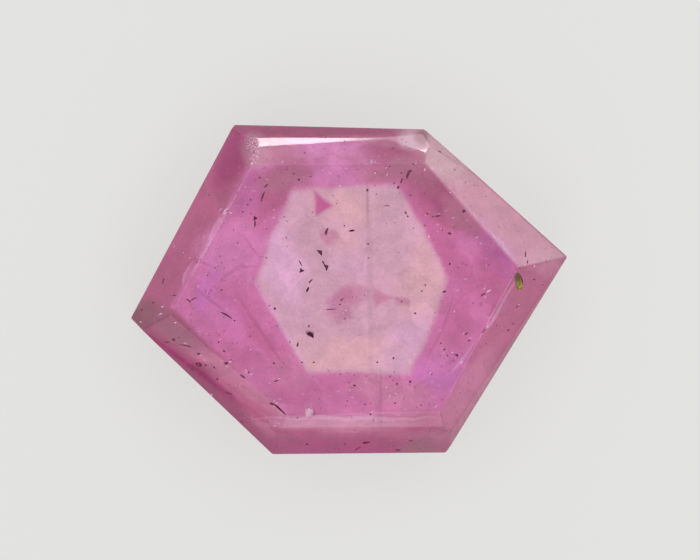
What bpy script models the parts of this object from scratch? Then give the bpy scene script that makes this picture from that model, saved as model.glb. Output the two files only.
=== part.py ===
"""A polished slice of a natural ruby crystal, lying on its back, as one solid.

The slice was cut across a six-sided crystal. A large flat, the table, faces up. Sloping flats run
round it, steeper ones below them on some sides, then upright side walls, and a narrow bevel round
the flat back. Lengths below are in millimetres and angles in degrees. X is to the right and Y is
up in a view from above, and Z is the height over the back.
"""

import math
from collections import namedtuple

import bmesh
import bpy
from mathutils import Euler, Matrix, Vector, noise

MM = 0.001

# Driving dimensions: the slice is ground from a block of its own thickness. The shoulder is the
# height at which the reach of each wall is given
THICKNESS = 3.0
BLOCK = 14.0
SHOULDER = 2.0
BACK_SLOPE = 135.0

# Polishing rounds every edge a little, and the brow, the edge below a crown flat, more: how wide the
# rounding is on each side of the edge, and in how many narrow flats it is ground
EDGE_WIDTH = 0.06
EDGE_STEPS = 2
BROW_WIDTHS = {
    "top": 0.10,
    "upper_right": 0.08,
    "lower_right": 0.08,
    "bottom": 0.20,
    "lower_left": 0.20,
}
BROW_STEPS = 4
SMALLEST_EDGE = 0.002
CUT_TOLERANCE = 0.00001
SAME_FACING = 0.9999

# One flat: the direction that it faces, its slope away from level, how far from the middle its plane
# passes, and the height at which it passes there
Flat = namedtuple("Flat", "facing slope reach height")

WALLS = {
    "top": Flat(88.5, 91.5, 3.886, SHOULDER),
    "upper_right": Flat(48.3, 93.0, 4.064, SHOULDER),
    "lower_right": Flat(-31.7, 92.0, 4.042, SHOULDER),
    "bottom": Flat(-89.5, 93.0, 3.944, SHOULDER),
    "lower_left": Flat(226.1, 91.0, 4.128, SHOULDER),
    "upper_left": Flat(152.0, 93.5, 4.295, SHOULDER),
}
CROWN = {
    "top": Flat(90.3, 34.0, 3.026, THICKNESS),
    "upper_right": Flat(41.8, 38.0, 3.366, THICKNESS),
    "lower_right": Flat(-28.6, 42.0, 3.314, THICKNESS),
    "bottom": Flat(-88.2, 30.0, 2.984, THICKNESS),
    "lower_left": Flat(229.0, 32.0, 3.275, THICKNESS),
    "upper_left": Flat(151.5, 47.0, 3.482, THICKNESS),
    "top_corner": Flat(85.0, 42.0, 3.605, 2.674),
    "top_strip": Flat(91.2, 43.0, 3.493, 2.7),
}
BROWS = {
    "top": Flat(90.6, 62.0, 3.636, 2.589),
    "upper_right": Flat(52.0, 65.0, 3.945, 2.639),
    "lower_right": Flat(-31.7, 68.0, 3.920, 2.454),
    "bottom": Flat(-89.0, 57.0, 3.396, 2.762),
    "lower_left": Flat(231.9, 58.0, 3.879, 2.534),
}
BACK_INSETS = {
    "top": 0.46,
    "upper_right": 0.38,
    "lower_right": 0.52,
    "bottom": 0.42,
    "lower_left": 0.48,
    "upper_left": 0.56,
}

# One cavity in the polished side: its place, its length, width and depth, and the way it lies
Pit = namedtuple("Pit", "x y length width depth turn")

PITS = {
    "table_chip": Pit(-0.91, -2.92, 0.34, 0.26, 0.09, 80.0),
    "star_pit": Pit(0.58, 3.07, 0.17, 0.14, 0.10, 20.0),
    "corner_flake": Pit(1.62, 3.03, 0.26, 0.11, 0.06, 12.0),
    "grain_bed": Pit(4.07, 0.19, 0.50, 0.24, 0.14, -68.0),
    "left_nick": Pit(-3.59, 0.69, 0.22, 0.12, 0.07, 35.0),
    "shoulder_nick": Pit(-2.96, 1.87, 0.20, 0.11, 0.07, 60.0),
    "right_nick": Pit(3.24, -0.96, 0.24, 0.08, 0.06, 50.0),
    "ring_pit": Pit(-3.59, -1.80, 0.17, 0.14, 0.08, 0.0),
    "table_pit": Pit(0.07, 1.41, 0.18, 0.06, 0.05, 5.0),
    "core_pit": Pit(-0.99, 0.00, 0.16, 0.06, 0.06, 66.0),
    "lower_pit": Pit(-0.95, -1.06, 0.24, 0.16, 0.09, -40.0),
    "ring_scratch": Pit(-1.70, -2.82, 0.34, 0.06, 0.05, -42.0),
}

# One chip out of the sides: its bearing from the middle, its height, its size and the way it lies
Chip = namedtuple("Chip", "bearing z size turn")

CHIPS = {
    "lower_left": Chip(218.6, 2.02, 0.17, 40.0),
    "upper_right": Chip(47.0, 2.14, 0.18, 15.0),
    "right": Chip(-8.0, 1.20, 0.20, 70.0),
    "left": Chip(172.0, 0.85, 0.22, 10.0),
    "bottom": Chip(-80.0, 0.52, 0.26, 55.0),
    "top": Chip(109.0, 0.48, 0.24, 30.0),
}

# How uneven the cavities are, over what share of their length, and how deep a chip is for its size
PIT_ROUGHNESS = 0.28
PIT_LUMPS = 3.0
CHIP_DEPTH = 0.55


def clear_scene():
    for item in list(bpy.data.objects):
        bpy.data.objects.remove(item, do_unlink=True)


def new_collection(name):
    collection = bpy.data.collections.new(name)
    bpy.context.scene.collection.children.link(collection)
    return collection


def outward(flat):
    """The direction that a flat faces, as a unit vector."""
    turn = math.radians(flat.facing)
    lean = math.radians(flat.slope)
    level = Vector((math.cos(turn), math.sin(turn), 0.0))
    return level * math.sin(lean) + Vector((0.0, 0.0, math.cos(lean)))


def point_on(flat):
    turn = math.radians(flat.facing)
    return Vector((math.cos(turn) * flat.reach, math.sin(turn) * flat.reach, flat.height))


def surface_over(x, y):
    """The height of the polished side over a point, and the direction that it faces there."""
    height, upward = THICKNESS, Vector((0.0, 0.0, 1.0))
    for flat in [*CROWN.values(), *BROWS.values()]:
        facing, place = outward(flat), point_on(flat)
        here = place.z - (facing.x * (x - place.x) + facing.y * (y - place.y)) / facing.z
        if here < height:
            height, upward = here, facing
    return height, upward


def surface_towards(bearing, height):
    """The point of the sides that a level line from the middle axis meets at a height."""
    turn = math.radians(bearing)
    start, along = Vector((0.0, 0.0, height)), Vector((math.cos(turn), math.sin(turn), 0.0))
    distances = []
    for flat in [*WALLS.values(), *BROWS.values(), *back_bevels()]:
        facing = outward(flat)
        if facing.dot(along) > 0.0:
            distances.append(facing.dot(point_on(flat) - start) / facing.dot(along))
    return start + along * min(distances)


def grind(stone, place, facing):
    """Takes off all that stands beyond one plane and closes the cut, as a lapidary's wheel does."""
    everything = stone.verts[:] + stone.edges[:] + stone.faces[:]
    cut = bmesh.ops.bisect_plane(
        stone,
        geom=everything,
        dist=CUT_TOLERANCE * MM,
        plane_co=place,
        plane_no=facing,
        clear_outer=True,
    )
    rim = [item for item in cut["geom_cut"] if isinstance(item, bmesh.types.BMEdge)]
    if rim:
        bmesh.ops.contextual_create(stone, geom=rim)


def back_bevels():
    """The narrow flats round the back, one under each wall."""
    return [
        Flat(WALLS[side].facing, BACK_SLOPE, WALLS[side].reach - inset, 0.0)
        for side, inset in BACK_INSETS.items()
    ]


def brow_side(normals):
    """The side whose crown flat and steeper flat meet at an edge, or None for any other edge."""
    for side, brow in BROWS.items():
        pair = (outward(CROWN[side]), outward(brow))
        if all(max(normal.dot(way) for normal in normals) > SAME_FACING for way in pair):
            return side
    return None


def rounding_of(edge):
    """The narrow planes that round one edge, each as a point and a direction. They touch a cylinder
    that lies along the edge, inside both of its flats."""
    first, second = [face.normal.copy() for face in edge.link_faces]
    side = brow_side((first, second))
    width, steps = (BROW_WIDTHS[side], BROW_STEPS) if side else (EDGE_WIDTH, EDGE_STEPS)
    radius = width * MM / math.tan(first.angle(second) / 2)
    axis = edge.verts[0].co - (first + second) * radius / (1.0 + first.dot(second))
    facings = [first.slerp(second, (step + 1) / (steps + 1)) for step in range(steps)]
    return [(axis + facing * radius, facing) for facing in facings]


def ground_stone():
    """The faceted stone, from one block by flat cuts alone."""
    stone = bmesh.new()
    block = Matrix.Translation((0.0, 0.0, THICKNESS * MM / 2)) @ Matrix.Diagonal(
        (BLOCK * MM, BLOCK * MM, THICKNESS * MM, 1.0)
    )
    bmesh.ops.create_cube(stone, size=1.0, matrix=block)
    for flat in [*WALLS.values(), *CROWN.values(), *BROWS.values(), *back_bevels()]:
        grind(stone, point_on(flat) * MM, outward(flat))
    bmesh.ops.recalc_face_normals(stone, faces=stone.faces)
    for place, facing in [plane for edge in stone.edges for plane in rounding_of(edge)]:
        grind(stone, place, facing)
    bmesh.ops.dissolve_degenerate(stone, dist=SMALLEST_EDGE * MM, edges=stone.edges)
    bmesh.ops.recalc_face_normals(stone, faces=stone.faces)
    return stone


def roughened_ball(cutters, size, place, turn, seed):
    """Adds one uneven pebble to the cutters: what a pit or a chip has lost."""
    made = bmesh.ops.create_icosphere(cutters, subdivisions=1, radius=0.5)
    for vert in made["verts"]:
        push = noise.noise(vert.co * PIT_LUMPS + Vector((seed, 2.0 * seed, 0.0)))
        vert.co *= 1.0 + PIT_ROUGHNESS * push
        vert.co = Vector((vert.co.x * size[0], vert.co.y * size[1], vert.co.z * size[2]))
    lie = Matrix.Translation(place) @ turn.to_matrix().to_4x4()
    bmesh.ops.transform(cutters, matrix=Matrix.Scale(MM, 4) @ lie, verts=made["verts"])


def cavities():
    """One mesh with every pit and chip, which the stone has cut out of it."""
    cutters = bmesh.new()
    for seed, pit in enumerate(PITS.values()):
        height, upward = surface_over(pit.x, pit.y)
        spin = Euler((0.0, 0.0, math.radians(pit.turn))).to_quaternion()
        turn = Vector((0.0, 0.0, 1.0)).rotation_difference(upward) @ spin
        size = (pit.length, pit.width, 2 * pit.depth)
        roughened_ball(cutters, size, Vector((pit.x, pit.y, height)), turn, seed)
    for seed, chip in enumerate(CHIPS.values(), start=len(PITS)):
        turn = Euler((0.0, math.radians(chip.turn), math.radians(chip.turn))).to_quaternion()
        size = (chip.size, chip.size, chip.size * CHIP_DEPTH)
        roughened_ball(cutters, size, surface_towards(chip.bearing, chip.z), turn, seed)
    return cutters


def as_object(name, shape, collection):
    mesh = bpy.data.meshes.new(name)
    shape.to_mesh(mesh)
    shape.free()
    item = bpy.data.objects.new(name, mesh)
    collection.objects.link(item)
    return item


def middle_of(shape):
    """The middle of a shape, seen from above."""
    lows = [min(vert.co[axis] for vert in shape.verts) for axis in range(2)]
    highs = [max(vert.co[axis] for vert in shape.verts) for axis in range(2)]
    return Vector(((lows[0] + highs[0]) / 2, (lows[1] + highs[1]) / 2, 0.0))


def ruby_material():
    material = bpy.data.materials.new("ruby")
    material.use_nodes = True
    shader = material.node_tree.nodes["Principled BSDF"]
    shader.inputs["Base Color"].default_value = (0.56, 0.15, 0.32, 1.0)
    shader.inputs["Metallic"].default_value = 0.0
    shader.inputs["Roughness"].default_value = 0.12
    shader.inputs["IOR"].default_value = 1.77
    shader.inputs["Transmission Weight"].default_value = 0.35
    return material


def build():
    clear_scene()
    parts = new_collection("ruby_crystal_slice")
    tools = new_collection("cutters")

    shape, losses = ground_stone(), cavities()
    middle = middle_of(shape)
    bmesh.ops.translate(shape, vec=-middle, verts=shape.verts)
    bmesh.ops.translate(losses, vec=-middle, verts=losses.verts)

    stone = as_object("ruby_crystal", shape, parts)
    stone.data.materials.append(ruby_material())
    cutter = as_object("pit_and_chip_cutters", losses, tools)
    cutter.hide_render = True
    cutter.display_type = "WIRE"
    pits = stone.modifiers.new("pits_and_chips", "BOOLEAN")
    pits.operation = "DIFFERENCE"
    pits.object = cutter


build()
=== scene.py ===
# %% [markdown]
# A polished slice of ruby crystal
#
# The object is one natural crystal, cut across and polished into a long six-sided slice. It lies on
# its flat back and the camera looks straight down on it. This file dresses the solid that the frame
# brings in: it gives the slice its fine pits, its mineral grain and its ruby material.

# %% Load the frame
import math
import random

import bpy
from mathutils import Matrix, Vector


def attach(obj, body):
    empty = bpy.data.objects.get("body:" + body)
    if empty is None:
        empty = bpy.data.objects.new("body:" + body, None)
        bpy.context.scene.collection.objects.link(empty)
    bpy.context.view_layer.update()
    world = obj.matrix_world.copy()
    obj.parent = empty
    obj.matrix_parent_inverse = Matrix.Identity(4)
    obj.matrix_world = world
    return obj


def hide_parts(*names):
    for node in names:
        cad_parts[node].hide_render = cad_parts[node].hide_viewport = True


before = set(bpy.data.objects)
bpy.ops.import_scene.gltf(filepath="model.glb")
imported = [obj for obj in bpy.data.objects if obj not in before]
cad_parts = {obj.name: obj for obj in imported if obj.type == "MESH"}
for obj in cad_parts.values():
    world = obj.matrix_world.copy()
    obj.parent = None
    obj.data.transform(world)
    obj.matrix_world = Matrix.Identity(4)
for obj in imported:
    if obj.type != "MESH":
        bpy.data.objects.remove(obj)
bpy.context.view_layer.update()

MM = 0.001

# %% [markdown]
# The camera
#
# The photograph looks straight down on the slice from far away, so its sides hardly show. A long
# lens a good way above the stone gives that flat view. The width of the view is the number of
# pixels across the photograph at the real size of one pixel.

# %% Camera
PHOTO_WIDTH, PHOTO_HEIGHT = 700, 560
PIXEL = 0.024 * MM
MIDDLE_PX, MIDDLE_PY = 349.0, 289.5
GIRDLE = 2.0 * MM
CAMERA_HEIGHT = 300.0 * MM
CLIP_START = 1.0 * MM
SENSOR_WIDTH = 36.0


def place_of(px, py):
    """The place over the slice that a pixel of the photograph shows."""
    return Vector(((px - MIDDLE_PX) * PIXEL, (MIDDLE_PY - py) * PIXEL, 0.0))


view_middle = place_of(PHOTO_WIDTH / 2, PHOTO_HEIGHT / 2)
camera_data = bpy.data.cameras.new("camera")
camera_data.sensor_width = SENSOR_WIDTH
camera_data.lens = SENSOR_WIDTH * (CAMERA_HEIGHT - GIRDLE) / (PHOTO_WIDTH * PIXEL)
camera_data.clip_start = CLIP_START
camera = bpy.data.objects.new("camera", camera_data)
camera.location = view_middle + Vector((0.0, 0.0, CAMERA_HEIGHT))
bpy.context.scene.collection.objects.link(camera)
bpy.context.scene.camera = camera
print("lens", round(camera_data.lens), "mm")

# %% [markdown]
# Floor and light
#
# The photograph has a plain pale background with hardly a shadow, and even light from all sides, as
# in a light tent whose roof, where the camera looks in, is darker. The floor glows a little, as the
# pale cloth of a tent does, and a grey world is the rest of the tent. A belt of soft boxes half way
# up lights the stone from within, and the table doesn't mirror it. Lower boxes are mirrored by one
# sloping flat each: the brightest is behind the top of the picture and draws the white strip there.

# %% Floor, tent and soft boxes
bpy.context.scene.view_settings.view_transform = "Standard"
TENT = 0.55
FLOOR_SIZE = 0.6
FLOOR_GAP = 0.02 * MM
FLOOR_COLOUR = (0.16, 0.16, 0.158, 1.0)
GLOW_COLOUR = (1.0, 1.0, 0.985, 1.0)
GLOW = 0.605
FLOOR_ROUGHNESS = 0.9


def deselect():
    if bpy.context.mode != "OBJECT":
        bpy.ops.object.mode_set(mode="OBJECT")
    bpy.ops.object.select_all(action="DESELECT")


deselect()
bpy.ops.mesh.primitive_plane_add(size=FLOOR_SIZE, location=(0.0, 0.0, -FLOOR_GAP))
floor = bpy.context.object
floor.name = "floor"

floor_material = bpy.data.materials.new("pale_floor")
floor_material.use_nodes = True
floor_shader = floor_material.node_tree.nodes["Principled BSDF"]
floor_shader.inputs["Base Color"].default_value = FLOOR_COLOUR
floor_shader.inputs["Emission Color"].default_value = GLOW_COLOUR
floor_shader.inputs["Emission Strength"].default_value = GLOW
floor_shader.inputs["Roughness"].default_value = FLOOR_ROUGHNESS
floor_shader.inputs["Specular IOR Level"].default_value = 0.0
floor.data.materials.append(floor_material)

world = bpy.data.worlds.new("tent")
world.use_nodes = True
world.node_tree.nodes["Background"].inputs["Color"].default_value = (TENT, TENT, TENT, 1.0)
bpy.context.scene.world = world

BOX_DISTANCE = 0.5


def soft_box(name, bearing, height, brightness, wide, tall):
    """An area light at a bearing and a height, in degrees, that faces the slice."""
    light = bpy.data.lights.new(name, "AREA")
    light.shape = "RECTANGLE"
    light.size = 2 * BOX_DISTANCE * math.tan(math.radians(wide / 2))
    light.size_y = 2 * BOX_DISTANCE * math.tan(math.radians(tall / 2))
    light.energy = brightness * math.pi * light.size * light.size_y
    box = bpy.data.objects.new(name, light)
    turn, lift = math.radians(bearing), math.radians(height)
    level, up = math.cos(lift), math.sin(lift)
    away = Vector((math.cos(turn) * level, math.sin(turn) * level, up))
    box.location = away * BOX_DISTANCE
    box.rotation_euler = away.to_track_quat("Z", "Y").to_euler()
    bpy.context.scene.collection.objects.link(box)


# The belt: the bearing and the brightness of each box. The other values are in degrees
BELT_HEIGHT, BELT_WIDE, BELT_TALL = 56.0, 40.0, 26.0
BELT = {151: 0.9, 228: 0.6, 270: 0.9, 331: 1.1, 42: 0.7, 90: 0.6}
for bearing, brightness in BELT.items():
    soft_box(f"belt_{bearing}", bearing, BELT_HEIGHT, brightness, BELT_WIDE, BELT_TALL)

# The low boxes: name, bearing and height in degrees, brightness, and width and height in degrees
LOW_BOXES = [
    ("top_strip", 92.0, 6.0, 9.0, 18.0, 12.0),
    ("top_wall", 90.0, 24.0, 0.3, 50.0, 12.0),
    ("upper_right_wall", 42.0, 13.0, 1.2, 36.0, 20.0),
    ("lower_left_wall", 228.0, 27.0, 0.4, 36.0, 20.0),
    ("bottom_wall", 270.0, 30.0, 1.0, 40.0, 20.0),
    ("right_wall", 331.0, 8.0, 0.5, 34.0, 16.0),
]
for low_box in LOW_BOXES:
    soft_box(*low_box)
print(len(BELT) + len(LOW_BOXES), "soft boxes")

# %% [markdown]
# The slice
#
# The solid in the frame has every flat of the real stone, so it is the start of the piece. Its mesh
# comes as loose triangles. A copy is merged, and its flat areas are made whole faces again.

# %% Copy the solid and make its flats whole
MERGE = 0.0005 * MM
FLAT_ANGLE = math.radians(0.6)

slice_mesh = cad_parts["ruby_crystal"].data.copy()
slice_mesh.name = "ruby_slice"
ruby_slice = bpy.data.objects.new("ruby_slice", slice_mesh)
bpy.context.scene.collection.objects.link(ruby_slice)
slice_mesh.materials.clear()


def work_on(item):
    deselect()
    item.select_set(True)
    bpy.context.view_layer.objects.active = item


work_on(ruby_slice)
bpy.ops.object.mode_set(mode="EDIT")
bpy.ops.mesh.select_all(action="SELECT")
bpy.ops.mesh.remove_doubles(threshold=MERGE)
bpy.ops.mesh.dissolve_limited(angle_limit=FLAT_ANGLE)
bpy.ops.object.mode_set(mode="OBJECT")
print("the slice has", len(slice_mesh.polygons), "faces")

# %% Find the flats: the faces that are wide for their outline. The others round the edges
FLAT_WIDTH = 0.085 * MM


def width_of(face):
    ring = [slice_mesh.vertices[index].co for index in face.vertices]
    outline = sum((end - start).length for start, end in zip(ring, ring[1:] + ring[:1]))
    return 2 * face.area / outline


flats = [face.normal.copy() for face in slice_mesh.polygons if width_of(face) > FLAT_WIDTH]
print(len(flats), "flats")

# %% [markdown]
# Fine pits
#
# Natural ruby is full of tiny cavities, and polishing opens them. Some are dark inside and others
# are pale inside, partly frosted and partly a painted glint. Four forms are modelled once: a
# pebble, a needle, a bent needle and a wedge.
# Copies of them lie wherever the photograph shows a mark, and one Boolean takes them all away. They
# are cut rather than painted, because the light catches a real hollow.

# %% The finishes of the slice
DARK_INSIDE = (0.16, 0.035, 0.075)
# The pale finish is partly frosting and partly a painted glint
FROSTED_AND_GLINT_INSIDE = (0.78, 0.50, 0.66)
PIT_ROUGHNESS = 0.6


def plain_material(name, colour, roughness):
    material = bpy.data.materials.new(name)
    material.use_nodes = True
    shader = material.node_tree.nodes["Principled BSDF"]
    shader.inputs["Base Color"].default_value = (*colour, 1.0)
    shader.inputs["Roughness"].default_value = roughness
    return material


ruby = bpy.data.materials.new("ruby")
ruby.use_nodes = True
dark_pit = plain_material("dark_pit", DARK_INSIDE, PIT_ROUGHNESS)
pale_pit = plain_material("frosted_glint_pit", FROSTED_AND_GLINT_INSIDE, PIT_ROUGHNESS)
FINISHES = [ruby, dark_pit, pale_pit]
DARK, PALE = 1, 2
for finish in FINISHES:
    slice_mesh.materials.append(finish)

# %% Dress the larger hollows, which the solid already has
# Each one's place in the photograph and its finish
HOLLOWS = [
    (373, 161, PALE), (226, 211, PALE), (352, 231, DARK), (308, 290, DARK), (279, 407, DARK),
]
HOLLOW_REACH = 0.2 * MM
LARGEST_FACET = 0.02 * MM * MM

dressed = 0
for px, py, finish in HOLLOWS:
    spot = place_of(px, py)
    for face in slice_mesh.polygons:
        near = (face.center.xy - spot.xy).length < HOLLOW_REACH and face.center.z > GIRDLE
        if near and face.area < LARGEST_FACET:
            face.material_index = finish
            dressed += 1
print(dressed, "faces of the larger hollows dressed")

# %% The four forms of pit, each one unit long
HALF_LENGTH = 0.5
WEDGE_FOOT, WEDGE_HEAD, WEDGE_BLUNT = 0.42, 0.78, 0.06


def pit_form(name, bend=0.0, uneven=0.05, seed=1):
    """A rough pebble, stretched when it is laid. Bend pushes its middle sideways."""
    deselect()
    bpy.ops.mesh.primitive_ico_sphere_add(subdivisions=1, radius=HALF_LENGTH)
    form = bpy.context.object
    form.name = name
    bpy.ops.object.mode_set(mode="EDIT")
    bpy.ops.mesh.select_all(action="SELECT")
    bpy.ops.transform.vertex_random(offset=uneven, uniform=1.0, seed=seed)
    bpy.ops.object.mode_set(mode="OBJECT")
    for vert in form.data.vertices:
        vert.co.y += bend * (HALF_LENGTH * HALF_LENGTH - vert.co.x * vert.co.x)
    return form


def wedge_form():
    """A three-sided chip with a blunt point."""
    deselect()
    bpy.ops.mesh.primitive_cone_add(vertices=3, radius1=WEDGE_FOOT, radius2=WEDGE_HEAD, depth=1.0)
    form = bpy.context.object
    form.name = "wedge"
    bpy.ops.object.mode_set(mode="EDIT")
    bpy.ops.mesh.select_all(action="SELECT")
    bpy.ops.mesh.bevel(offset=WEDGE_BLUNT, segments=1)
    bpy.ops.object.mode_set(mode="OBJECT")
    return form


FORMS = {
    "pebble": pit_form("pebble", seed=3),
    "needle": pit_form("needle", uneven=0.03, seed=5),
    "curve": pit_form("curve", bend=1.4, seed=7),
    "wedge": wedge_form(),
}
print("forms of pit:", list(FORMS))

# %% Where the pits are: place in the photograph, length and width in pixels, turn in degrees, form
DARK_PITS = [
    (260, 178, 3, 2, 30, "pebble"), (266.5, 186, 7, 1.8, 40, "needle"),
    (263.5, 197, 13, 2.2, 70, "curve"), (255.4, 218.5, 5, 4.5, -90, "wedge"),
    (255.3, 224, 8, 2.2, 88, "needle"), (248, 205, 2.6, 1.6, 60, "pebble"),
    (251, 200, 3.2, 1.3, 55, "needle"), (243, 212, 1.9, 1.5, 0, "pebble"),
    (251, 214, 1.8, 1.4, 0, "pebble"), (294, 174, 2.2, 1.6, 0, "pebble"),
    (299, 180, 3.6, 2.4, -30, "pebble"), (287, 170, 1.8, 1.4, 20, "pebble"),
    (238, 243, 2.2, 1.6, 10, "pebble"), (234, 230, 1.6, 1.2, 0, "pebble"),
    (267, 229, 1.8, 1.4, 0, "pebble"), (163.5, 281, 8, 2, 78, "needle"),
    (175, 295.5, 7, 1.4, -5, "needle"), (189, 300.5, 8, 1.3, -38, "needle"),
    (194, 299, 9, 1.2, 30, "needle"), (153.5, 302.5, 4.2, 1.8, 0, "pebble"),
    (142, 310, 3, 2.2, 30, "pebble"), (226.5, 315.5, 16, 2.4, -30, "curve"),
    (222, 290, 3, 1.8, 0, "pebble"), (235, 320.5, 2.6, 1.6, 0, "pebble"),
    (174, 339.5, 5, 3.2, -15, "pebble"), (167, 342, 8, 1.3, 5, "needle"),
    (186, 345.5, 17, 1.4, -8, "needle"), (199, 353.5, 4.6, 2.4, 15, "pebble"),
    (196.4, 363.2, 3.4, 1.4, -8, "needle"), (206, 365, 3.8, 1.8, -10, "pebble"),
    (214.5, 367, 4.4, 1.6, -40, "needle"), (226.5, 363, 5.5, 3, 5, "pebble"),
    (217.5, 379, 3, 2.2, 60, "pebble"), (219, 342, 2.6, 1.8, 90, "pebble"),
    (224.5, 351, 3.6, 2, -30, "pebble"), (250.5, 336, 2, 1.5, 0, "pebble"),
    (274, 363, 3.8, 1.8, -20, "pebble"), (243, 376, 7, 2.2, -38, "needle"),
    (249, 372, 3, 1.6, 30, "pebble"), (229, 393, 11, 1.6, -18, "needle"),
    (272, 403.5, 6, 3, -25, "pebble"), (282, 411, 13, 1.8, -42, "curve"),
    (275, 308.5, 3.4, 2.8, -50, "pebble"), (302, 362, 2.6, 1.8, 0, "pebble"),
    (276.5, 380.5, 7, 1.5, 20, "needle"), (327.3, 232, 10, 2.8, 72, "curve"),
    (320.3, 252.3, 7.5, 5, -50, "wedge"), (323.3, 262.5, 5, 2, -60, "pebble"),
    (326.3, 267, 8, 4.6, -65, "wedge"), (301.6, 270.6, 5.5, 4.8, 20, "wedge"),
    (300.5, 263, 8, 1.4, -62, "needle"), (311, 281.5, 7, 1.9, 48, "curve"),
    (307.4, 290, 6, 2, 66, "needle"), (311.6, 334.4, 9.5, 6.5, -35, "wedge"),
    (309, 326, 3.4, 1.8, 60, "pebble"), (297.8, 344.5, 6, 2.2, 72, "pebble"),
    (314, 362, 3.2, 1.8, 0, "pebble"), (352, 230.6, 7.5, 1.5, 5, "needle"),
    (344.5, 226, 2.2, 1.8, 0, "pebble"), (368, 244, 2.8, 1.8, -30, "pebble"),
    (367.4, 190.4, 2.6, 3.2, 0, "pebble"), (368.3, 258, 1.8, 1.6, 0, "pebble"),
    (331, 309.5, 13, 1.2, 4, "curve"), (415, 313.2, 3, 2.4, -40, "pebble"),
    (425, 285, 2.8, 1.6, -30, "pebble"), (421.6, 291, 2.4, 1.6, 0, "pebble"),
    (444, 291.6, 5.5, 2.4, 15, "pebble"), (387, 206, 8, 0.9, 0, "needle"),
    (340, 304.5, 2.6, 1.8, 0, "pebble"), (408.4, 175.6, 10, 3, 68, "curve"),
    (409.5, 171.6, 6, 2.4, 15, "pebble"), (401.4, 181, 6.5, 2, 76, "needle"),
    (398, 187.6, 4.4, 2.4, 62, "pebble"), (394, 183.4, 2.2, 1.6, 0, "pebble"),
    (401, 173.4, 2.4, 1.8, 0, "pebble"), (405.5, 213, 4, 2, -62, "pebble"),
    (407.5, 216.5, 2.6, 2, -60, "pebble"), (427, 214, 3.2, 2, -20, "pebble"),
    (437.5, 216.2, 6.5, 1.9, 12, "needle"), (432.5, 217, 3, 1.4, 0, "pebble"),
    (463.6, 211.4, 4.6, 3.2, 30, "wedge"), (439.4, 151.8, 4.4, 2.4, -25, "pebble"),
    (449.2, 233.6, 4.6, 2.8, -35, "pebble"), (449.3, 264, 2.8, 2.6, 0, "pebble"),
    (454.5, 170, 2.4, 1.6, 0, "pebble"), (525.4, 254.5, 9, 1.7, 78, "curve"),
    (527, 262, 6, 1.5, 72, "needle"), (482.5, 294.5, 7, 2, 32, "needle"),
    (534, 279.4, 4.2, 1.6, -12, "pebble"), (508, 330, 4.4, 2, 30, "pebble"),
    (513, 323.6, 3.2, 1.6, 40, "pebble"), (466, 333.6, 5, 1.6, 50, "needle"),
    (468.8, 340.4, 3, 2, 0, "pebble"), (456.4, 355, 5, 3, -35, "wedge"),
    (444, 349.4, 2.8, 2.2, 60, "pebble"), (440.6, 343, 2, 1.6, 0, "pebble"),
    (516.6, 306.8, 3.2, 1.8, 40, "pebble"), (393.4, 358, 3, 2.2, 62, "pebble"),
    (377.2, 362, 2.8, 2, 30, "pebble"), (410, 381.4, 3.4, 2.6, 60, "pebble"),
    (396.8, 383.6, 3, 2, -20, "pebble"), (390, 376, 2, 1.6, 0, "pebble"),
    (354.4, 385, 4, 2, -18, "pebble"), (365, 404, 2.4, 1.6, 0, "pebble"),
    (395, 402.6, 3.4, 1.6, 10, "pebble"), (421, 404.8, 2.2, 1.6, 0, "pebble"),
    (370.4, 413.8, 3, 2, -20, "pebble"), (307, 444, 3.4, 2.8, 20, "pebble"),
    (345, 444, 3.2, 2.4, 0, "pebble"), (366, 442.4, 10, 4.6, 14, "pebble"),
    (358.2, 448.6, 11, 2, 44, "curve"), (333.5, 304, 1.2, 1, 0, "pebble"),
    (352.5, 297, 1.4, 1, 0, "pebble"), (364.5, 295.5, 1.8, 1.2, 60, "pebble"),
    (356, 296, 1.2, 1, 0, "pebble"), (345, 318.5, 2.2, 1.2, 60, "pebble"),
    (351, 312.6, 1, 0.8, 0, "pebble"), (357, 307, 1, 0.8, 0, "pebble"),
    (349, 308.6, 1, 0.8, 0, "pebble"), (342, 299.6, 5, 1.4, 40, "needle"),
    (401.6, 301.4, 2.6, 1.6, 30, "pebble"), (398, 450, 7, 3, -6, "pebble"),
    (411, 440.6, 5, 2.4, 0, "pebble"), (242.5, 422, 3.2, 2, -60, "pebble"),
]
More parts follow.
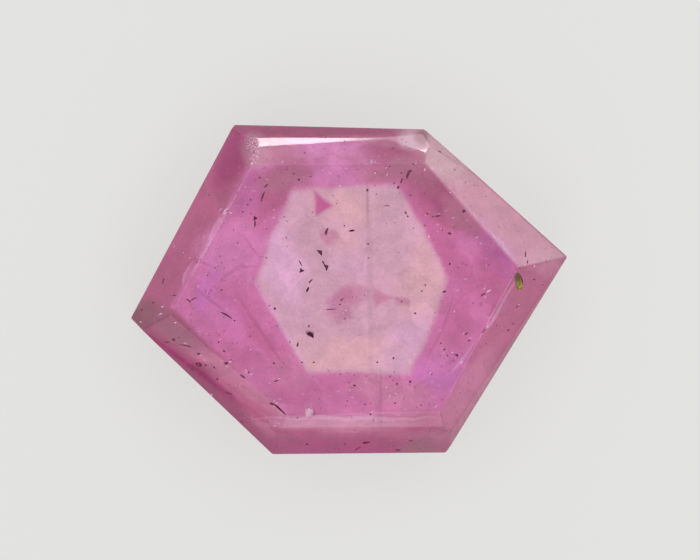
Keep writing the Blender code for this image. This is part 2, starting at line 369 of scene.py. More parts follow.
# The pale pits, whose pale finish is partly a painted glint
PALE_PITS = [
    (282.6, 162, 2.8, 2.2, 0, "pebble"), (227.5, 211, 6, 2.6, 15, "pebble"),
    (221, 209.5, 6, 1.5, 30, "needle"), (231, 213, 4, 1.5, -30, "needle"),
    (200, 261, 3, 2, 0, "pebble"), (190, 258, 3.6, 1.3, 0, "needle"),
    (174, 246.6, 2.4, 2, 0, "pebble"), (183.4, 252.6, 2, 1.4, 0, "pebble"),
    (274, 218, 2.6, 1.6, 0, "pebble"), (340, 186.4, 3, 2, 0, "pebble"),
    (252, 163.6, 4, 2.6, 50, "pebble"), (373.4, 161, 5.4, 4.2, 45, "wedge"),
    (416, 163.6, 4.4, 1.8, 20, "pebble"), (375, 173.4, 2.4, 1.8, 0, "pebble"),
    (387, 175, 4, 1.2, 80, "needle"), (386, 168.4, 2.2, 1.4, 0, "pebble"),
    (424.6, 170, 4.4, 1.8, 75, "needle"), (494, 236.6, 6, 1.8, -42, "needle"),
    (506.4, 248, 5, 1.8, -55, "pebble"), (500, 241.4, 2.4, 1.6, 0, "pebble"),
    (534, 266.2, 2.6, 2, 0, "pebble"), (524.4, 265, 3.4, 1.4, 70, "needle"),
    (450, 192.8, 2.2, 1.8, 0, "pebble"), (428.6, 237, 3.4, 2, 80, "pebble"),
    (487, 327, 6, 1.8, 42, "needle"), (493.4, 319, 7, 1.2, 55, "needle"),
    (461.4, 362, 4.6, 1.8, 55, "needle"), (163, 306.6, 4.4, 2.2, 0, "pebble"),
    (161, 314, 7, 2.2, 10, "wedge"), (141, 322, 4, 2, -40, "wedge"),
    (176, 322.6, 3, 2, 0, "pebble"), (309.6, 413, 11, 14, -90, "wedge"),
    (488.4, 291, 6.5, 1.9, 30, "needle"), (484, 288.8, 3.6, 1.3, 40, "needle"),
    (300, 343, 3.4, 1.5, 76, "needle"), (201.4, 355.2, 3.2, 1.4, 10, "pebble"),
    (230.6, 361.6, 3.6, 1.8, 0, "pebble"), (251, 349.6, 2.2, 1.6, 0, "pebble"),
    (251.4, 374, 4, 1.4, 20, "needle"), (246, 370, 3.2, 1.3, 60, "needle"),
    (279, 378.6, 5, 1.2, 25, "needle"), (274, 378, 4, 1.1, 10, "needle"),
    (277, 402.6, 4, 1.3, 30, "needle"), (275, 425.6, 6, 1.3, 20, "needle"),
    (279, 423, 4, 1.2, -40, "needle"), (346, 310.4, 2.6, 1.6, 20, "pebble"),
    (343.4, 313, 1.8, 1.2, 0, "pebble"), (350, 306, 1.4, 1, 0, "pebble"),
    (354, 302, 1.2, 1, 0, "pebble"), (358.4, 298.6, 1.2, 1, 0, "pebble"),
    (330.6, 299.4, 1.6, 1.2, 0, "pebble"), (321.6, 251, 3.6, 1.2, -50, "needle"),
    (303.4, 269.4, 2.6, 1.2, 10, "needle"), (305.4, 287.4, 4, 1.1, 66, "needle"),
    (211.6, 394.6, 4.5, 2.4, -44, "pebble"), (247, 371.6, 4.4, 1.1, 70, "needle"),
    (253, 368, 3, 1, -20, "needle"), (270, 383, 4, 1, -30, "needle"),
    (283, 381, 3.4, 1, 60, "needle"), (236, 327, 3, 1, 40, "needle"),
    (200, 331.6, 5, 1.1, -8, "needle"), (207, 334, 3, 1, 30, "needle"),
    (227.6, 366.4, 3, 1.2, 0, "needle"), (205, 359.8, 5, 1.1, -5, "needle"),
    (186, 343.2, 6, 1.1, -10, "needle"), (438.6, 214, 4, 1.1, 12, "needle"),
    (330, 395.6, 4, 1, 4, "needle"), (352, 397, 5, 1, -2, "needle"),
    (340, 390.4, 3, 1, 0, "needle"), (311, 403.4, 3, 1, 10, "needle"),
    (360, 388, 3, 1, -60, "needle"), (463, 333.4, 4, 1.1, 50, "needle"),
    (443, 289.6, 4, 1.1, 15, "needle"), (452, 352.4, 4, 1.2, -30, "needle"),
    (484.6, 296.6, 4, 1, 30, "needle"), (340.6, 309, 2.2, 1.6, 0, "pebble"),
    (430.4, 372.8, 3.4, 1.4, 30, "needle"), (435.6, 406, 5, 1.2, 35, "needle"),
    (372, 411.6, 2.2, 1.8, 0, "pebble"), (470, 338, 2.6, 1.4, 0, "pebble"),
    (518.4, 304.8, 2.8, 1.6, 0, "pebble"), (454, 311.6, 2.6, 1.6, 60, "pebble"),
    (476.6, 237.4, 5, 1.2, 20, "needle"), (480.4, 243.6, 4, 1.2, -30, "needle"),
    (425.6, 215, 2, 1.4, 0, "pebble"), (386.2, 386.8, 2.2, 1.6, 0, "pebble"),
    (389.6, 395, 2, 1.4, 0, "pebble"),
]

# The scatter: specks of pits everywhere, fewer in the middle, some with a pale needle beside them,
# a painted glint
SCATTER = 210
SCATTER_ACROSS, SCATTER_DOWN = (130, 560), (130, 450)
SCATTER_SIZE = (1.0, 2.2)
SCATTER_WIDTH = 0.7
MIDDLE_REACH = 80
MIDDLE_SHARE = 0.25
BESIDE_CHANCE = 0.4
BESIDE_LEFT, BESIDE_UP = 1.4, 1.2
BESIDE_LENGTH = 1.2
FINE_WIDTH = 0.9

# The worn end of the top edge: a band of short scratches that leans to the right as it goes down
WORN_PITS = 36
WORN_START, WORN_WIDTH, WORN_LEAN = 243.5, 10.0, 0.3
WORN_DOWN = (137.5, 168.0)
WORN_LENGTH, WORN_TURN = (1.2, 3.6), (20, 70)
# Most scratches take the pale finish, partly a painted glint on the worn edge
WORN_PALE_SHARE = 0.8

# The depth of a pit for its width, and its limits in pixels
PIT_DEPTH = 0.45
LEAST_DEPTH, MOST_DEPTH = 0.9, 2.2
RAY_HEIGHT = 10.0 * MM

# %% Lay the pits on the slice
draw = random.Random(11)


def lay_pit(px, py, length, width, turn, form, finish):
    """A copy of one form, laid in the surface that shows at a pixel. Returns None off the slice."""
    start = place_of(px, py) + Vector((0.0, 0.0, RAY_HEIGHT))
    found, spot, facing, _ = ruby_slice.ray_cast(start, Vector((0.0, 0.0, -1.0)))
    if not found:
        return None
    pit = bpy.data.objects.new("pit", FORMS[form].data.copy())
    bpy.context.scene.collection.objects.link(pit)
    depth = min(max(LEAST_DEPTH, width * PIT_DEPTH), MOST_DEPTH)
    tilt = Vector((0.0, 0.0, 1.0)).rotation_difference(facing).to_matrix().to_4x4()
    spin = Matrix.Rotation(math.radians(turn), 4, "Z")
    size = Matrix.Diagonal((length * PIXEL, width * PIXEL, 2 * depth * PIXEL, 1.0))
    pit.data.transform(Matrix.Translation(spot) @ tilt @ spin @ size)
    for material in FINISHES:
        pit.data.materials.append(material)
    for face in pit.data.polygons:
        face.material_index = finish
    return pit


laid = [lay_pit(*mark, DARK) for mark in DARK_PITS]
laid += [lay_pit(*mark, PALE) for mark in PALE_PITS]
for _ in range(SCATTER):
    spot_px, spot_py = draw.uniform(*SCATTER_ACROSS), draw.uniform(*SCATTER_DOWN)
    length, turn = draw.uniform(*SCATTER_SIZE), draw.uniform(0, 180)
    chance, beside = draw.random(), draw.random()
    in_middle = math.hypot(spot_px - MIDDLE_PX, spot_py - MIDDLE_PY) < MIDDLE_REACH
    if in_middle and chance > MIDDLE_SHARE:
        continue
    laid.append(lay_pit(spot_px, spot_py, length, length * SCATTER_WIDTH, turn, "pebble", DARK))
    if beside < BESIDE_CHANCE:
        spot_px, spot_py = spot_px - BESIDE_LEFT, spot_py - BESIDE_UP
        length = length * BESIDE_LENGTH
        laid.append(lay_pit(spot_px, spot_py, length, FINE_WIDTH, turn, "needle", PALE))
for _ in range(WORN_PITS):
    spot_py = draw.uniform(*WORN_DOWN)
    spot_px = WORN_START + WORN_LEAN * (spot_py - WORN_DOWN[0]) + WORN_WIDTH * draw.random() ** 2
    length, turn = draw.uniform(*WORN_LENGTH), draw.uniform(*WORN_TURN)
    finish = PALE if draw.random() < WORN_PALE_SHARE else DARK
    laid.append(lay_pit(spot_px, spot_py, length, FINE_WIDTH, turn, "needle", finish))
laid = [pit for pit in laid if pit]
print(len(laid), "pits laid")

# %% Take them all away with one Boolean
deselect()
for pit in laid:
    pit.select_set(True)
bpy.context.view_layer.objects.active = laid[0]
bpy.ops.object.join()
pit_cutter = bpy.context.object
for form in FORMS.values():
    bpy.data.objects.remove(form)

work_on(ruby_slice)
cut = ruby_slice.modifiers.new("pits", "BOOLEAN")
cut.operation = "DIFFERENCE"
cut.solver = "EXACT"
cut.use_self = True
cut.material_mode = "INDEX"
cut.object = pit_cutter
bpy.ops.object.modifier_apply(modifier=cut.name)
bpy.data.objects.remove(pit_cutter)
print("with its pits the slice has", len(ruby_slice.data.polygons), "faces")

# %% Shade the flats flat and blend the rounded edges between them
SAME_WAY = math.cos(math.radians(0.4))
SMOOTH_WITHIN = math.cos(math.radians(31.0))


def shade_slice():
    """Sets the normals at the corners of every face. A flat keeps its own, and a narrow face takes
    that of the nearest flat, or the mean of its narrow neighbours."""
    mesh = ruby_slice.data
    faces = list(mesh.polygons)
    flat = [any(face.normal.dot(way) > SAME_WAY for way in flats) for face in faces]
    around = [[] for _ in mesh.vertices]
    for number, face in enumerate(faces):
        for vert in face.vertices:
            around[vert].append(number)
    normals = []
    for number, face in enumerate(faces):
        for vert in face.vertices:
            near = [faces[other] for other in around[vert]]
            near = [other for other in near if other.normal.dot(face.normal) > SMOOTH_WITHIN]
            flats_near = [other.normal for other in near if flat[other.index]]
            if flat[number] or face.material_index:
                normal = face.normal
            elif flats_near:
                normal = max(flats_near, key=face.normal.dot)
            else:
                normal = sum((other.normal * other.area for other in near), Vector())
            normals.append(normal.normalized())
    mesh.shade_smooth()
    mesh.normals_split_custom_set(normals)
    print(sum(flat), "faces are flats")


shade_slice()

# %% [markdown]
# The mineral grain
#
# One olive grain of another mineral grew into the ruby near its right corner and was polished flush
# with it. It is a slender crystal with a few flat faces, in the hollow that the solid has for it.

# %% Grain
GRAIN_PX, GRAIN_PY = 518.4, 281.8
BESIDE_PX, BESIDE_PY = 531.0, 288.0
GRAIN_TURN = math.radians(-68.0)
GRAIN_LENGTH, GRAIN_WIDTH, GRAIN_DEPTH = 0.46 * MM, 0.20 * MM, 0.20 * MM
GRAIN_SINK = 0.04 * MM
GRAIN_BEVEL, GRAIN_PROFILE, GRAIN_UNEVEN = 0.22, 0.6, 0.045
ON_ITS_SIDE = (0.0, math.pi / 2, 0.0)

deselect()
bpy.ops.mesh.primitive_cylinder_add(vertices=6, radius=0.5, depth=1.0, rotation=ON_ITS_SIDE)
grain = bpy.context.object
grain.name = "mineral_grain"
bpy.ops.object.transform_apply(location=False, rotation=True, scale=False)
bpy.ops.object.mode_set(mode="EDIT")
bpy.ops.mesh.select_all(action="SELECT")
bpy.ops.mesh.bevel(offset=GRAIN_BEVEL, segments=2, profile=GRAIN_PROFILE)
bpy.ops.transform.vertex_random(offset=GRAIN_UNEVEN, uniform=1.0, seed=4)
bpy.ops.object.mode_set(mode="OBJECT")

# The flat beside the hollow gives the height and the slope that the grain was polished to
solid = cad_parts["ruby_crystal"]
above = Vector((0.0, 0.0, RAY_HEIGHT))
_, beside, flat_facing, _ = solid.ray_cast(place_of(BESIDE_PX, BESIDE_PY) + above, -above)
grain_spot = place_of(GRAIN_PX, GRAIN_PY)
grain_spot.z = beside.z - flat_facing.xy.dot(grain_spot.xy - beside.xy) / flat_facing.z
grain_lie = Vector((0.0, 0.0, 1.0)).rotation_difference(flat_facing).to_matrix().to_4x4()
grain_lie = Matrix.Translation(grain_spot - flat_facing * GRAIN_SINK) @ grain_lie
grain_size = Matrix.Diagonal((GRAIN_LENGTH, GRAIN_WIDTH, GRAIN_DEPTH, 1.0))
grain.data.transform(grain_lie @ Matrix.Rotation(GRAIN_TURN, 4, "Z") @ grain_size)
print("grain at", [round(value / MM, 2) for value in grain_spot], "mm")

# %% [markdown]
# The ruby material
#
# The crystal grew outwards in six-sided layers, so its colour follows the distance from the middle:
# a pale middle, a magenta ring and a deep rose rim. The rim is partly that zone and partly painted
# shade, as its thin edges look darker. The zones are upright prisms, so they depend on X and Y
# alone and show on the side walls as upright bands.

# %% Node helpers
class Graph:
    """Adds nodes to a node tree and links them, one short call each."""

    def __init__(self, tree):
        self.tree = tree

    def put(self, socket, value):
        if isinstance(value, bpy.types.NodeSocket):
            self.tree.links.new(value, socket)
        elif socket.type == "RGBA":
            socket.default_value = (*value[:3], 1.0)
        else:
            socket.default_value = value

    def node(self, kind, inputs=(), **settings):
        made = self.tree.nodes.new(kind)
        for name, value in settings.items():
            setattr(made, name, value)
        for key, value in dict(inputs).items():
            self.put(made.inputs[key], value)
        return made

    def math(self, operation, *values):
        return self.node("ShaderNodeMath", dict(enumerate(values)), operation=operation).outputs[0]

    def vector(self, operation, first, second=(0.0, 0.0, 0.0)):
        inputs = {0: first, 1: second}
        return self.node("ShaderNodeVectorMath", inputs, operation=operation).outputs[0]

    def dot(self, first, second):
        inputs = {0: first, 1: second}
        return self.node("ShaderNodeVectorMath", inputs, operation="DOT_PRODUCT").outputs["Value"]

    def ramp(self, value, low, high, out_low=0.0, out_high=1.0):
        """A smooth change from out_low to out_high as value goes from low to high."""
        inputs = {"Value": value, "From Min": low, "From Max": high}
        inputs.update({"To Min": out_low, "To Max": out_high})
        made = self.node("ShaderNodeMapRange", inputs, interpolation_type="SMOOTHSTEP")
        return made.outputs[0]

    def mix(self, factor, first, second, blend="MIX"):
        made = self.node("ShaderNodeMix", data_type="RGBA", blend_type=blend)
        for key, value in ((0, factor), (6, first), (7, second)):
            self.put(made.inputs[key], value)
        return made.outputs[2]

    def group(self, tree, **inputs):
        """Places a node group. An underscore in an input's name stands for a space."""
        made = self.node("ShaderNodeGroup", {}, node_tree=tree)
        for name, value in inputs.items():
            self.put(made.inputs[name.replace("_", " ")], value)
        return made.outputs[0]


def new_group(name, inputs, output):
    """An empty node group, with its graph, its inputs and a function that sets its one output."""
    tree = bpy.data.node_groups.new(name, "ShaderNodeTree")
    for label, kind in inputs.items():
        tree.interface.new_socket(label, in_out="INPUT", socket_type="NodeSocket" + kind)
    tree.interface.new_socket(output, in_out="OUTPUT", socket_type="NodeSocketFloat")
    graph = Graph(tree)
    given = graph.node("NodeGroupInput").outputs
    out = graph.node("NodeGroupOutput")
    return tree, graph, given, lambda value: tree.links.new(value, out.inputs[0])


def linear(red, green, blue):
    """A colour as seen on a screen, 0 to 255, in the renderer's own units."""

    def one(value):
        value /= 255.0
        return value / 12.92 if value <= 0.04045 else ((value + 0.055) / 1.055) ** 2.4

    return (one(red), one(green), one(blue))


# %% Many-sided zones
def side_between(first, second):
    """The direction and distance, in metres, of the line through two pixels."""
    start, end = place_of(*first), place_of(*second)
    along = (end - start).normalized()
    facing = Vector((-along.y, along.x, 0.0))
    return facing, facing.dot(start)


def zone_group(name, corners):
    """A node group that gives the distance outside a many-sided zone, in millimetres. The corners
    go clockwise as seen from above."""
    tree, graph, given, give = new_group(name, {"Vector": "Vector"}, "Distance")
    farthest = None
    for first, second in zip(corners, corners[1:] + corners[:1]):
        facing, reach = side_between(first, second)
        beyond = graph.math("SUBTRACT", graph.dot(given[0], facing), reach)
        farthest = beyond if farthest is None else graph.math("MAXIMUM", farthest, beyond)
    give(graph.math("DIVIDE", farthest, MM))
    return tree


CORE = [(293, 190), (398, 185), (448, 282), (410, 372), (309, 371), (256, 281)]
TABLE = [(252, 164), (424, 163), (518, 268), (440, 411), (284, 414), (171, 308)]
ROSE_TRIANGLE = [(315, 192), (334, 206), (317, 216)]
ROSE_WEDGE = [(374, 287), (394, 296), (376, 308)]
# The flat at the upper right, which gets a painted reflection
SHEEN_SIDE = [(424, 163), (427, 131), (566, 257), (518, 268)]

core_zone = zone_group("core_zone", CORE)
table_zone = zone_group("table_zone", TABLE)
triangle_zone = zone_group("rose_triangle", ROSE_TRIANGLE)
wedge_zone = zone_group("rose_wedge", ROSE_WEDGE)
sheen_side_zone = zone_group("painted_sheen_side", SHEEN_SIDE)

# %% Soft patches
def patch_group():
    """A node group that gives a soft oval mask. Along and Across are the oval's two directions,
    each divided by its half size. Inner and Outer are the squares of where its edge starts and
    ends."""
    vectors = {name: "Vector" for name in ("Vector", "Centre", "Along", "Across")}
    numbers = {name: "Float" for name in ("Inner", "Outer", "Strength")}
    tree, graph, given, give = new_group("soft_patch", {**vectors, **numbers}, "Mask")
    away = graph.vector("SUBTRACT", given["Vector"], given["Centre"])
    along = graph.dot(away, given["Along"])
    across = graph.dot(away, given["Across"])
    square = graph.math("MULTIPLY_ADD", along, along, graph.math("MULTIPLY", across, across))
    give(graph.ramp(square, given["Inner"], given["Outer"], given["Strength"], 0.0))
    return tree


soft_patch = patch_group()


def patch(graph, vector, px, py, half_long, half_wide, turn, softness, strength=1.0):
    """A soft oval at a pixel of the photograph, with its half sizes in pixels and a turn."""
    angle = math.radians(turn)
    along = Vector((math.cos(angle), math.sin(angle), 0.0)) / (half_long * PIXEL)
    across = Vector((-math.sin(angle), math.cos(angle), 0.0)) / (half_wide * PIXEL)
    inner, outer = (1.0 - softness) ** 2, (1.0 + softness) ** 2
    return graph.group(
        soft_patch, Vector=vector, Centre=place_of(px, py), Along=along, Across=across,
        Inner=inner, Outer=outer, Strength=strength,
    )


# %% Fine detail: clouds and specks
CLOUD_LOW, CLOUD_HIGH = 0.3, 0.7


def cloud_group():
    """A node group that gives cloudy noise from 0 to 1. Size is that of a cloud, in metres."""
    tree, graph, given, give = new_group("clouds", {"Vector": "Vector", "Size": "Float"}, "Value")
    scale = graph.math("DIVIDE", 1.0, given["Size"])
    inputs = {"Vector": given["Vector"], "Scale": scale, "Detail": 3.0}
    noise = graph.node("ShaderNodeTexNoise", inputs)
    give(graph.ramp(noise.outputs["Fac"], CLOUD_LOW, CLOUD_HIGH))
    return tree


def speck_group():
    """A node group that gives small round specks. Spacing and Size are in metres."""
    inputs = {"Vector": "Vector", "Spacing": "Float", "Size": "Float", "Share": "Float"}
    tree, graph, given, give = new_group("specks", inputs, "Mask")
    scale = graph.math("DIVIDE", 1.0, given["Spacing"])
    cells = graph.node("ShaderNodeTexVoronoi", {"Vector": given["Vector"], "Scale": scale})
    size = graph.math("MULTIPLY", given["Size"], scale)
    dot = graph.ramp(cells.outputs["Distance"], graph.math("MULTIPLY", size, 0.5), size, 1.0, 0.0)
    chosen = graph.node("ShaderNodeSeparateColor", {0: cells.outputs["Color"]}).outputs[0]
    kept = graph.math("LESS_THAN", chosen, given["Share"])
    give(graph.math("MULTIPLY", dot, kept))
    return tree


clouds_of, specks_of = cloud_group(), speck_group()

# %% The colours of the ruby
# What the polish mirrors of the tent, and how much of a base colour comes back out of the stone
SHEEN = 0.03
DARKEST = 0.004
RETURN = (0.705, 0.62, 0.665)


def stone(red, green, blue):
    """The base colour that shows as this colour, once the polish and the depth have changed it."""
    seen = linear(red, green, blue)
    return tuple(min(max(value - SHEEN, DARKEST) / back, 1.0) for value, back in zip(seen, RETURN))


CORE_PINK = stone(207, 156, 180)
RING_PINK = stone(199, 113, 162)
# Partly the rim's own colour and partly painted shade, as the thin edges look darker
RIM_ROSE_AND_SHADE = stone(174, 88, 124)
LILAC = stone(217, 164, 202)
WARM_PINK = stone(217, 165, 177)
GREY_PINK = stone(199, 152, 172)
BRIGHT_PINK = stone(209, 128, 180)
VIOLET = stone(202, 116, 184)
DARK_VIOLET = stone(174, 93, 148)
ROSE = stone(186, 100, 144)
STRONG_ROSE = stone(176, 94, 132)
# Painted shade: the dark rose of the steep outer bands and the upper left rim
DEEP_ROSE = stone(166, 84, 120)
DARK_ROSE_SHADE = stone(159, 58, 110)
GREY_ROSE = stone(136, 84, 100)
# Painted shade: the darkest rose of the steep outer bands
NIGHT_ROSE_SHADE = stone(146, 46, 96)
DULL_ROSE = stone(174, 108, 134)
WARM_ROSE = stone(202, 126, 164)
# Partly the stone's pale grey and partly painted reflection, on the upper right flat and the worn
# left end of the top strip
SHADED_ROSE = stone(190, 116, 152)
# Painted sheen on the lighter bands of the bevels and the left end of the top flat
PALE_GREY_SHEEN = stone(202, 164, 176)
# Painted highlight at the right end of the white strip at the top
PALE_ROSE_SHEEN = stone(198, 130, 160)
HIGHLIGHT_LILAC = stone(200, 162, 186)

# The patches of each colour, laid one over the other: place in the photograph, half length and half
# width in pixels, turn in degrees, softness and strength
PATCHES = [
    (LILAC, [
        (276, 250, 50, 17, -68, 0.7, 0.75), (400, 350, 26, 14, 55, 0.8, 0.8),
        (352, 262, 14, 9, 0, 0.8, 0.5),
    ]),
    (WARM_PINK, [
        (342, 354, 44, 15, 0, 0.8, 0.8), (346, 205, 24, 14, 0, 0.8, 0.7),
        (344, 244, 16, 12, 0, 0.8, 0.5), (424, 274, 34, 17, 70, 0.8, 0.7),
    ]),
    (GREY_PINK, [
        (318, 268, 50, 11, 90, 0.8, 0.4), (388, 226, 42, 18, 90, 0.8, 0.6),
        (313, 347, 12, 9, 0, 0.8, 0.7),
    ]),
    (BRIGHT_PINK, [
        (229, 250, 28, 22, 60, 0.7, 0.65), (332, 151, 36, 9, 0, 0.8, 1.0),
        (333, 173, 24, 11, 0, 0.7, 0.9), (254, 262, 22, 6, 60, 0.7, 0.7),
        (443, 364, 18, 11, 62, 0.8, 0.7), (350, 402, 40, 9, 0, 0.8, 0.7),
        (467, 262, 16, 14, 0, 0.7, 0.4), (275, 300, 20, 7, -50, 0.8, 0.5),
    ]),
    (VIOLET, [
        (206, 287, 18, 9, 70, 0.8, 0.8), (222, 308, 26, 12, -38, 0.8, 0.4),
        (434, 374, 24, 17, 40, 0.8, 0.7),
    ]),
    (DARK_VIOLET, [
        (474, 228, 34, 9, -46, 0.7, 0.7), (500, 262, 12, 14, 0, 0.8, 0.8),
        (252, 190, 20, 12, 60, 0.8, 0.5),
    ]),
    (ROSE, [
        (268, 345, 44, 9, -57, 0.8, 0.8), (232, 292, 26, 6, -34, 0.8, 0.4),
        (348, 395, 62, 12, 0, 0.8, 0.6), (457, 325, 32, 8, 78, 0.8, 0.6),
        (449, 249, 42, 9, -62, 0.8, 0.75), (300, 395, 22, 8, -30, 0.8, 0.6),
        (490, 284, 24, 12, -70, 0.8, 0.9), (238, 353, 18, 7, -42, 0.8, 0.55),
    ]),
    (WARM_ROSE, [
        (402, 394, 26, 10, 0, 0.8, 0.9), (292, 368, 16, 14, 0, 0.8, 0.5),
        (371, 386, 17, 8, 0, 0.8, 1.0), (440, 351, 14, 8, 60, 0.8, 0.3),
    ]),
    (SHADED_ROSE, [
        (345, 298, 13, 8, 18, 0.95, 0.9), (404, 302, 8, 4, 0, 0.95, 0.7),
        (333, 238, 9, 4, -60, 0.95, 0.7), (339, 314, 9, 6, 0, 0.95, 0.7),
    ]),
    (STRONG_ROSE, [
        (276, 194, 22, 8, 54, 0.8, 0.85), (416, 194, 24, 8, -55, 0.8, 0.6),
    ]),
    (DEEP_ROSE, [
        (440, 196, 36, 13, -46, 0.7, 1.0), (296, 171, 22, 7, 10, 0.8, 0.4),
        (396, 152, 26, 9, 0, 0.7, 0.9),
    ]),
    (DULL_ROSE, [
        (398, 171, 30, 8, 0, 0.8, 0.9), (420, 176, 20, 10, -40, 0.8, 0.7),
        (460, 216, 18, 9, -46, 0.8, 0.8), (286, 180, 20, 8, 10, 0.8, 0.9),
    ]),
    (PALE_ROSE_SHEEN, [
        (268, 155, 26, 9, 0, 0.8, 0.65), (548, 262, 16, 10, 0, 0.9, 0.5),
        (335, 424, 60, 6, 0, 0.6, 0.8), (226, 371, 66, 6, -37, 0.8, 0.45),
        (466, 392, 40, 9, 57, 0.8, 0.4),
    ]),
    (DARK_ROSE_SHADE, [
        (236, 156, 30, 12, 62, 0.7, 1.0), (345, 446, 90, 10, 0, 0.5, 1.0),
    ]),
    (NIGHT_ROSE_SHADE, [
        (310, 130, 90, 6, 0, 0.5, 1.0), (212, 395, 80, 11, -44, 0.5, 1.0),
    ]),
    (PALE_GREY_SHEEN, [
        (436, 155, 29, 10, -38, 0.95, 0.4), (256, 152, 9, 13, 15, 0.95, 0.35),
    ]),
    (HIGHLIGHT_LILAC, [
        (409, 139, 9, 8, 0, 0.8, 0.6),
    ]),
    (GREY_ROSE, [
        (146, 314, 14, 11, 30, 0.8, 0.8), (172, 326, 26, 9, -38, 0.9, 0.7),
        (423, 137, 7, 6, 0, 0.6, 0.8), (438, 440, 20, 9, 0, 0.8, 0.4),
        (419, 447, 16, 6, 0, 0.8, 0.8),
    ]),
]
# The colours whose patches keep near their ovals, and those of the core alone
CALM = (PALE_ROSE_SHEEN, DARK_ROSE_SHADE, NIGHT_ROSE_SHADE, PALE_GREY_SHEEN, HIGHLIGHT_LILAC, GREY_ROSE)
IN_THE_CORE = (LILAC, WARM_PINK, GREY_PINK)
# How far inside and outside its line the core and the table change colour, in millimetres
CORE_BLEND, TABLE_BLEND = (-0.09, 0.12), (-0.08, 0.10)


def wandering(graph, vector, size, reach):
    """The vector, shifted by up to about half of reach by clouds of noise of a size in metres."""
    noise = graph.node("ShaderNodeTexNoise", {"Vector": vector, "Scale": 1.0 / size, "Detail": 2.0})
    shift = graph.vector("SUBTRACT", noise.outputs["Color"], (0.5, 0.5, 0.5))
    spread = graph.node("ShaderNodeVectorMath", {0: shift, "Scale": reach}, operation="SCALE")
    return graph.vector("ADD", vector, spread.outputs[0])


ruby_shader = ruby.node_tree.nodes["Principled BSDF"]
ruby_output = ruby.node_tree.nodes["Material Output"]
paint = Graph(ruby.node_tree)
place = paint.node("ShaderNodeTexCoord").outputs["Object"]
bent = wandering(paint, place, 1.1 * MM, 0.30 * MM)
loose = wandering(paint, place, 0.7 * MM, 0.80 * MM)

core_edge = paint.group(core_zone, Vector=bent)
table_edge = paint.group(table_zone, Vector=bent)
outside = paint.ramp(core_edge, *CORE_BLEND)
colour = paint.mix(outside, CORE_PINK, RING_PINK)
colour = paint.mix(paint.ramp(table_edge, *TABLE_BLEND), colour, RIM_ROSE_AND_SHADE)
within = paint.math("SUBTRACT", 1.0, outside)
for shade, patches in PATCHES:
    wander = bent if shade in CALM else loose
    joined = 0.0
    for spot in patches:
        joined = paint.math("MAXIMUM", joined, patch(paint, wander, *spot))
    if shade in IN_THE_CORE:
        joined = paint.math("MULTIPLY", joined, within)
    elif shade is not SHADED_ROSE:
        joined = paint.math("MULTIPLY", joined, outside)
    colour = paint.mix(joined, colour, shade)
print(sum(len(patches) for _, patches in PATCHES), "patches of colour")

# %% Painted reflection on the upper right side, rose triangle, growth line
# A painted reflection is added on the flat at the upper right, in place of part of the gloss of the
# soft box there
PAINTED_SHEEN = (0.120, 0.180, 0.150)
painted_sheen_side = paint.ramp(paint.group(sheen_side_zone, Vector=place), -0.06, 0.04, 1.0, 0.0)
colour = paint.mix(painted_sheen_side, colour, PAINTED_SHEEN, "ADD")
TRIANGLE_ROSE, WEDGE_ROSE = stone(196, 92, 148), stone(194, 120, 152)
triangle = paint.ramp(paint.group(triangle_zone, Vector=bent), -0.06, 0.07, 0.95, 0.0)
wedge = paint.ramp(paint.group(wedge_zone, Vector=bent), -0.07, 0.07, 0.75, 0.0)
colour = paint.mix(triangle, colour, TRIANGLE_ROSE)
colour = paint.mix(wedge, colour, WEDGE_ROSE)

# The growth line, as two thin patches: a short clear one over a long faint one
LINE_GREY = stone(166, 124, 140)
line = patch(paint, place, 367.5, 200.0, 20.0, 0.9, -89.0, 0.9, 0.55)
faint_line = patch(paint, place, 369.5, 268.0, 70.0, 2.2, -89.0, 0.95, 0.22)
colour = paint.mix(paint.math("MAXIMUM", line, faint_line), colour, LINE_GREY)

# %% Hairlines: dark healed cracks, and pale lines that are mostly painted glints
# Place in the photograph, half length and half width in pixels, and turn in degrees
DARK_HAIRS = [
    (250.5, 246, 11, 1.1, -58), (230, 274, 9, 1.0, 42), (244, 268, 9, 0.9, 4),
    (207, 265, 8, 0.9, -28), (191, 268, 16, 1.0, 62), (212, 300, 12, 1.0, -40),
    (206, 226, 9, 1.0, 70), (262, 330, 30, 1.4, -56), (440, 330, 26, 1.2, 66),
    (381, 401, 22, 1.3, -87), (196, 338, 26, 1.4, -40),
]
# Pale lines, mostly painted glints along the edges of the table
PALE_HAIRS_AND_GLINTS = [
    (213, 236, 26, 1.2, 62), (189, 273, 8, 1.0, 66), (499, 308, 22, 1.2, 56),
    (462, 358, 12, 1.1, 52), (344, 417.5, 58, 1.6, 0), (500, 243, 12, 1.3, -48),
    (286, 332, 40, 1.6, -58),
]
HAIR_SOFTNESS = 0.9


def thin_lines(lines, strength):
    """A mask of thin lines: dark hairlines and pale painted glints alike."""
    joined = 0.0
    for line in lines:
        joined = paint.math("MAXIMUM", joined, patch(paint, bent, *line, HAIR_SOFTNESS, strength))
    return joined


colour = paint.mix(thin_lines(DARK_HAIRS, 0.3), colour, stone(156, 76, 120))
# Painted glints along the table edges
colour = paint.mix(thin_lines(PALE_HAIRS_AND_GLINTS, 0.35), colour, stone(232, 170, 208))

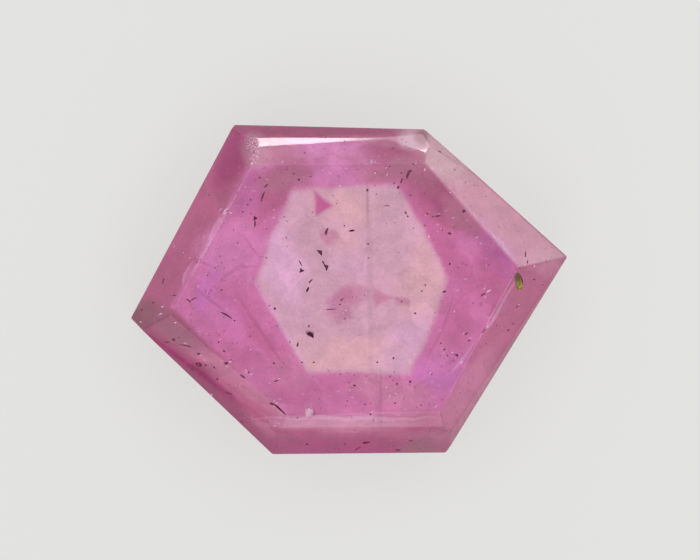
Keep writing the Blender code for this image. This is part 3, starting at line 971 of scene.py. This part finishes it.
# %% Growth blocks, clouds and specks
# The layers grew in blocks that differ a little, and each block is an upright prism
BLOCK_SIZE = 0.62 * MM
LEAST_BRIGHT = 0.81
BLOCK_CHANGE, CLOUD_CHANGE, FINE_CHANGE = 0.16, 0.14, 0.10
cells = {"Vector": loose, "Scale": 1.0 / BLOCK_SIZE}
blocks = paint.node("ShaderNodeTexVoronoi", cells, voronoi_dimensions="2D")
block = paint.node("ShaderNodeSeparateColor", {0: blocks.outputs["Color"]}).outputs[0]
clouds = paint.group(clouds_of, Vector=place, Size=0.34 * MM)
fine_clouds = paint.group(clouds_of, Vector=place, Size=0.07 * MM)
brightness = paint.math("MULTIPLY_ADD", block, BLOCK_CHANGE, LEAST_BRIGHT)
brightness = paint.math("MULTIPLY_ADD", clouds, CLOUD_CHANGE, brightness)
brightness = paint.math("MULTIPLY_ADD", fine_clouds, FINE_CHANGE, brightness)
varied = {"Color": colour, "Value": brightness}
colour = paint.node("ShaderNodeHueSaturation", varied).outputs[0]

swarm = paint.ramp(fine_clouds, 0.35, 0.65)
streaks = paint.vector("MULTIPLY", bent, (0.55, 1.0, 1.0))
dots = paint.group(specks_of, Vector=loose, Spacing=0.13 * MM, Size=0.05 * MM, Share=0.25)
dots = paint.math("MULTIPLY", dots, swarm)
dots = paint.math("MULTIPLY", dots, paint.math("MULTIPLY_ADD", outside, 0.4, 0.1))
colour = paint.mix(dots, colour, stone(140, 74, 106))
# The pale specks are painted glints
glint_dots = paint.group(specks_of, Vector=streaks, Spacing=0.09 * MM, Size=0.03 * MM, Share=0.2)
on_table = paint.ramp(table_edge, 0.0, 0.3, 0.35, 0.08)
glint_dots = paint.math("MULTIPLY", glint_dots, on_table)
colour = paint.mix(paint.math("MULTIPLY", glint_dots, swarm), colour, stone(240, 180, 214))
paint.put(ruby_shader.inputs["Base Color"], colour)

# %% Gloss, depth and polish
# The walls are ground and the flats above them are polished: a height and a roughness for each
GROUND_HEIGHT, POLISHED_HEIGHT = 1.75 * MM, 2.15 * MM
GROUND_ROUGHNESS, POLISHED_ROUGHNESS = 0.34, 0.07
paint.put(ruby_shader.inputs["IOR"], 1.77)
paint.put(ruby_shader.inputs["Specular IOR Level"], 0.35)
paint.put(ruby_shader.inputs["Transmission Weight"], 0.5)
height = paint.node("ShaderNodeSeparateXYZ", {0: place}).outputs["Z"]
ground = paint.ramp(
    height, GROUND_HEIGHT, POLISHED_HEIGHT, GROUND_ROUGHNESS, POLISHED_ROUGHNESS,
)
worn = patch(paint, place, 424.0, 140.0, 62.0, 8.0, 0.0, 0.5)
roughness = paint.math("ADD", ground, paint.math("MULTIPLY", clouds, 0.05))
roughness = paint.math("ADD", roughness, paint.math("MULTIPLY", worn, 0.25))
paint.put(ruby_shader.inputs["Roughness"], roughness)

waves = paint.group(clouds_of, Vector=place, Size=0.9 * MM)
grit = paint.group(clouds_of, Vector=place, Size=0.04 * MM)
battered = patch(paint, place, 251.0, 150.0, 6.0, 14.0, 0.0, 0.6)
roughed = paint.math("ADD", 0.04, paint.math("MULTIPLY", battered, 0.9))
grit_height = paint.math("MULTIPLY", grit, roughed)
relief = paint.math("ADD", paint.math("MULTIPLY", waves, 0.6), grit_height)
bump = paint.node("ShaderNodeBump", {"Height": relief, "Strength": 0.5, "Distance": 0.02 * MM})
paint.put(ruby_shader.inputs["Normal"], bump.outputs[0])

absorb = paint.node("ShaderNodeVolumeAbsorption", {"Color": (0.98, 0.45, 0.72), "Density": 90.0})
paint.put(ruby_output.inputs["Volume"], absorb.outputs[0])

# %% The grain's material
olive = bpy.data.materials.new("olive_grain")
olive.use_nodes = True
olive_shader = olive.node_tree.nodes["Principled BSDF"]
brush = Graph(olive.node_tree)
olive_place = brush.node("ShaderNodeTexCoord").outputs["Object"]
flecks = brush.group(clouds_of, Vector=olive_place, Size=0.07 * MM)
dark_end = patch(brush, olive_place, 515.5, 275.0, 7.0, 4.5, -60.0, 0.5)
olive_colour = brush.mix(flecks, linear(112, 100, 34), linear(176, 160, 58))
olive_colour = brush.mix(brush.math("MULTIPLY", dark_end, 0.85), olive_colour, linear(72, 52, 28))
brush.put(olive_shader.inputs["Base Color"], olive_colour)
brush.put(olive_shader.inputs["Roughness"], brush.ramp(flecks, 0.0, 1.0, 0.25, 0.5))
grain.data.materials.append(olive)

# %% Hand the pieces over
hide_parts("ruby_crystal")
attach(ruby_slice, "root")
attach(grain, "root")
